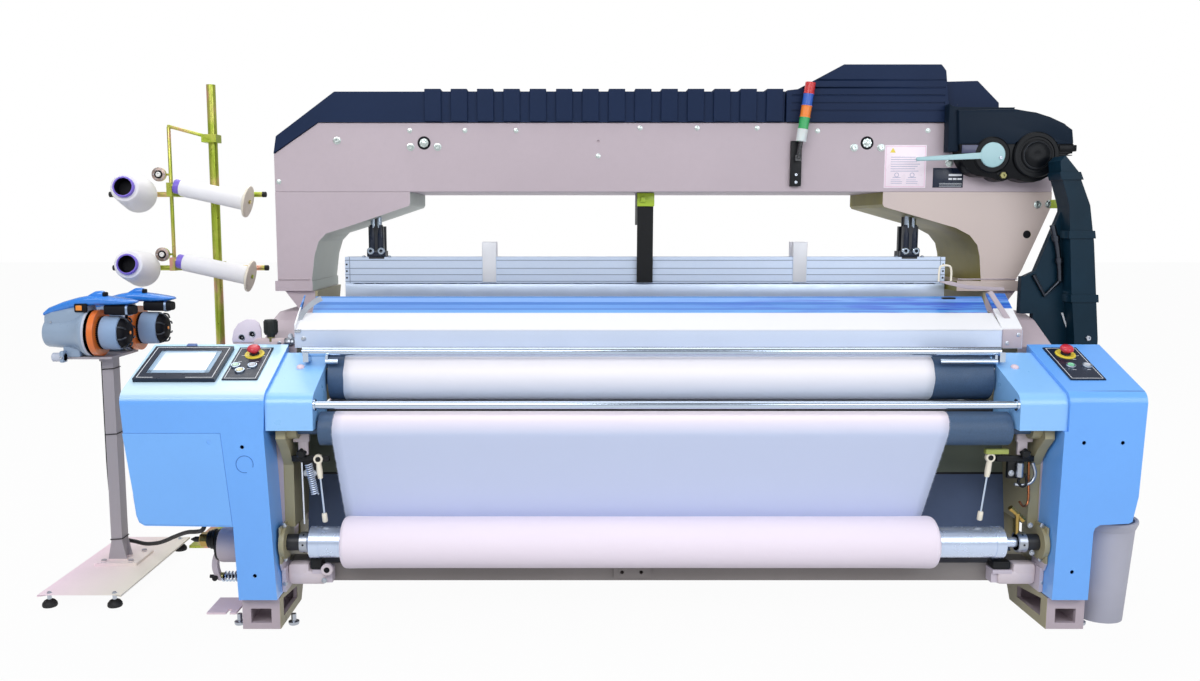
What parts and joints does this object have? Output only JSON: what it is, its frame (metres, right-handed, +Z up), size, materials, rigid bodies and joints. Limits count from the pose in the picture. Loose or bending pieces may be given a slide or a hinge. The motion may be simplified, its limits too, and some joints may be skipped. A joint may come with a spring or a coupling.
{
  "type": "power loom",
  "caption": "Wide power loom with an overhead dobby gantry, take-up rollers, cloth roll, warp beam, operating boxes, weft feeders and creel.",
  "frame": {"origin": "centre of the footprint on the floor", "axes": "+X to the right along the cloth's width, +Y from the cloth roll back to the warp beam, +Z up"},
  "size_m": [3.612, 1.6907, 1.8],
  "materials": {
    "frame_paint": "satin",
    "sheet_paint": "satin",
    "blue_paint": "gloss",
    "black_paint": "satin",
    "navy_paint": "satin",
    "white_paint": "satin",
    "chrome": "polished",
    "steel": "brushed",
    "aluminium": "satin",
    "roller_grip": "matt",
    "cloth": "matt",
    "panel": "gloss",
    "duct": "matt",
    "lamp": "gloss",
    "guide_black": "matt",
    "belt": "matt",
    "motor_paint": "satin",
    "cast": "rough",
    "feeder_blue": "gloss",
    "orange": "gloss",
    "zinc": "satin",
    "yarn": "matt",
    "red": "gloss",
    "green": "gloss",
    "grey": "gloss",
    "cream": "gloss",
    "lever_grey": "satin"
  },
  "bodies": {
    "loom_frame": {"left_side_frame": "frame_paint", "right_side_frame": "frame_paint", "cross_beams": "frame_paint", "apron": "sheet_paint", "roller_brackets": "frame_paint", "roller_fittings": "black_paint", "front_bars": "chrome", "breast_beam": "aluminium", "breast_covers": "white_paint", "supply_cable": "belt", "control_box": "blue_paint", "box_lower_cover": "blue_paint", "operating_panels": "panel", "right_cover": "blue_paint", "arm_covers": "blue_paint", "gantry_beam": "frame_paint", "gantry_brackets": "frame_paint", "beam_top_cover": "navy_paint", "dobby_cover": "navy_paint", "dobby_gear_case": "black_paint", "side_duct": "duct", "signal_tower": "lamp", "centre_guide": "guide_black", "cloth_sheet": "cloth", "warp_sheet": "cloth", "main_motor": "motor_paint", "drive_belt": "belt", "take_up_clutch": "cast", "weft_guides": "white_paint", "weft_stand": "frame_paint", "weft_feeders": "feeder_blue", "creel": "zinc", "yarn_packages": "yarn", "waste_bin": "frame_paint"},
    "take_up": {"take_up_roller": "roller_grip"},
    "guide": {"guide_roller": "roller_grip"},
    "press": {"press_roller": "roller_grip"},
    "cloth_winder": {"cloth_roll_core": "chrome", "cloth_roll": "cloth"},
    "warp_supply": {"warp_beam": "aluminium"},
    "back_rest": {"back_rest_roller": "steel"},
    "batten": {"sley": "steel", "reed": "steel"},
    "heald_1": {"heald_frame_1": "aluminium"},
    "heald_2": {"heald_frame_2": "aluminium"},
    "heald_3": {"heald_frame_3": "aluminium"},
    "heald_4": {"heald_frame_4": "aluminium"},
    "left_stop": {"left_stop_button": "red"},
    "left_start": {"left_button_start": "green"},
    "left_jog": {"left_button_jog": "grey"},
    "left_mark": {"left_button_mark": "cream"},
    "right_stop": {"right_stop_button": "red"},
    "right_start": {"right_button_start": "green"},
    "right_jog": {"right_button_jog": "grey"},
    "dobby_arm": {"dobby_lever": "lever_grey"},
    "drive": {"main_shaft": "steel"},
    "motor_drive": {"motor_pulley": "steel"},
    "disc_1": {"winding_disc_1": "orange"},
    "disc_2": {"winding_disc_2": "orange"},
    "foot_pedal": {"pedal": "frame_paint"}
  },
  "joints": [
    {"name": "take_up_turn", "type": "hinge", "parent": "loom_frame", "child": "take_up", "pos_m": [0, -0.5895, 0.76], "axis": [1, 0, 0], "continuous": true},
    {"name": "guide_turn", "type": "hinge", "parent": "loom_frame", "child": "guide", "pos_m": [0, -0.7625, 0.625], "axis": [1, 0, 0], "continuous": true},
    {"name": "press_turn", "type": "hinge", "parent": "loom_frame", "child": "press", "pos_m": [0, -0.62368, 0.65481], "axis": [1, 0, 0], "continuous": true},
    {"name": "cloth_roll_turn", "type": "hinge", "parent": "loom_frame", "child": "cloth_winder", "pos_m": [0, -0.7645, 0.263], "axis": [1, 0, 0], "continuous": true},
    {"name": "warp_beam_turn", "type": "hinge", "parent": "loom_frame", "child": "warp_supply", "pos_m": [0, 0.4655, 0.47], "axis": [1, 0, 0], "continuous": true},
    {"name": "back_rest_turn", "type": "hinge", "parent": "loom_frame", "child": "back_rest", "pos_m": [0, 0.6055, 0.905], "axis": [1, 0, 0], "continuous": true},
    {"name": "main_shaft_turn", "type": "hinge", "parent": "loom_frame", "child": "drive", "pos_m": [0, -0.3865, 0.48], "axis": [1, 0, 0], "continuous": true},
    {"name": "motor_turn", "type": "hinge", "parent": "loom_frame", "child": "motor_drive", "pos_m": [0, 0.0155, 0.215], "axis": [1, 0, 0], "continuous": true},
    {"name": "sley_rock", "type": "hinge", "parent": "loom_frame", "child": "batten", "pos_m": [0, -0.2845, 0.33], "axis": [1, 0, 0], "range_deg": [0, 8.5]},
    {"name": "heald_lift_1", "type": "slide", "parent": "loom_frame", "child": "heald_1", "axis": [0, 0, 1], "range_m": [-0.09, 0]},
    {"name": "heald_lift_2", "type": "slide", "parent": "loom_frame", "child": "heald_2", "axis": [0, 0, 1], "range_m": [0, 0.09]},
    {"name": "heald_lift_3", "type": "slide", "parent": "loom_frame", "child": "heald_3", "axis": [0, 0, 1], "range_m": [-0.09, 0]},
    {"name": "heald_lift_4", "type": "slide", "parent": "loom_frame", "child": "heald_4", "axis": [0, 0, 1], "range_m": [0, 0.09]},
    {"name": "left_stop_press", "type": "slide", "parent": "loom_frame", "child": "left_stop", "axis": [0, 0.3665, -0.9304], "range_m": [0, 0.005], "stiffness_N_per_m": 900, "springref_m": -0.002},
    {"name": "right_stop_press", "type": "slide", "parent": "loom_frame", "child": "right_stop", "axis": [0, 0.3665, -0.9304], "range_m": [0, 0.005], "stiffness_N_per_m": 900, "springref_m": -0.002},
    {"name": "left_start_press", "type": "slide", "parent": "loom_frame", "child": "left_start", "axis": [0, 0.3665, -0.9304], "range_m": [0, 0.004], "stiffness_N_per_m": 500, "springref_m": -0.002},
    {"name": "left_jog_press", "type": "slide", "parent": "loom_frame", "child": "left_jog", "axis": [0, 0.3665, -0.9304], "range_m": [0, 0.004], "stiffness_N_per_m": 500, "springref_m": -0.002},
    {"name": "left_mark_press", "type": "slide", "parent": "loom_frame", "child": "left_mark", "axis": [0, 0.3665, -0.9304], "range_m": [0, 0.004], "stiffness_N_per_m": 500, "springref_m": -0.002},
    {"name": "right_start_press", "type": "slide", "parent": "loom_frame", "child": "right_start", "axis": [0, 0.3665, -0.9304], "range_m": [0, 0.004], "stiffness_N_per_m": 500, "springref_m": -0.002},
    {"name": "right_jog_press", "type": "slide", "parent": "loom_frame", "child": "right_jog", "axis": [0, 0.3665, -0.9304], "range_m": [0, 0.004], "stiffness_N_per_m": 500, "springref_m": -0.002},
    {"name": "dobby_lever_turn", "type": "hinge", "parent": "loom_frame", "child": "dobby_arm", "pos_m": [1.453, -0.3345, 1.488], "axis": [0, 1, 0], "range_deg": [-8, 14]},
    {"name": "disc_1_turn", "type": "hinge", "parent": "loom_frame", "child": "disc_1", "pos_m": [-1.616, -0.3645, 0.88], "axis": [1, 0, 0], "continuous": true},
    {"name": "disc_2_turn", "type": "hinge", "parent": "loom_frame", "child": "disc_2", "pos_m": [-1.551, -0.1945, 0.88], "axis": [1, 0, 0], "continuous": true},
    {"name": "pedal_turn", "type": "hinge", "parent": "loom_frame", "child": "foot_pedal", "pos_m": [-1.012, -0.6945, 0.045], "axis": [1, 0, 0], "range_deg": [0, 7], "stiffness_Nm_per_rad": 60, "springref_deg": -6.88}
  ],
  "couplings": [
    {"joint": "guide_turn", "follows": "take_up_turn", "ratio": 1.4423},
    {"joint": "press_turn", "follows": "take_up_turn", "ratio": -2.2059},
    {"joint": "cloth_roll_turn", "follows": "take_up_turn", "ratio": -0.92593},
    {"joint": "warp_beam_turn", "follows": "take_up_turn", "ratio": 0.24194},
    {"joint": "back_rest_turn", "follows": "take_up_turn", "ratio": 1.25},
    {"joint": "motor_turn", "follows": "main_shaft_turn", "ratio": 2.5}
  ]
}
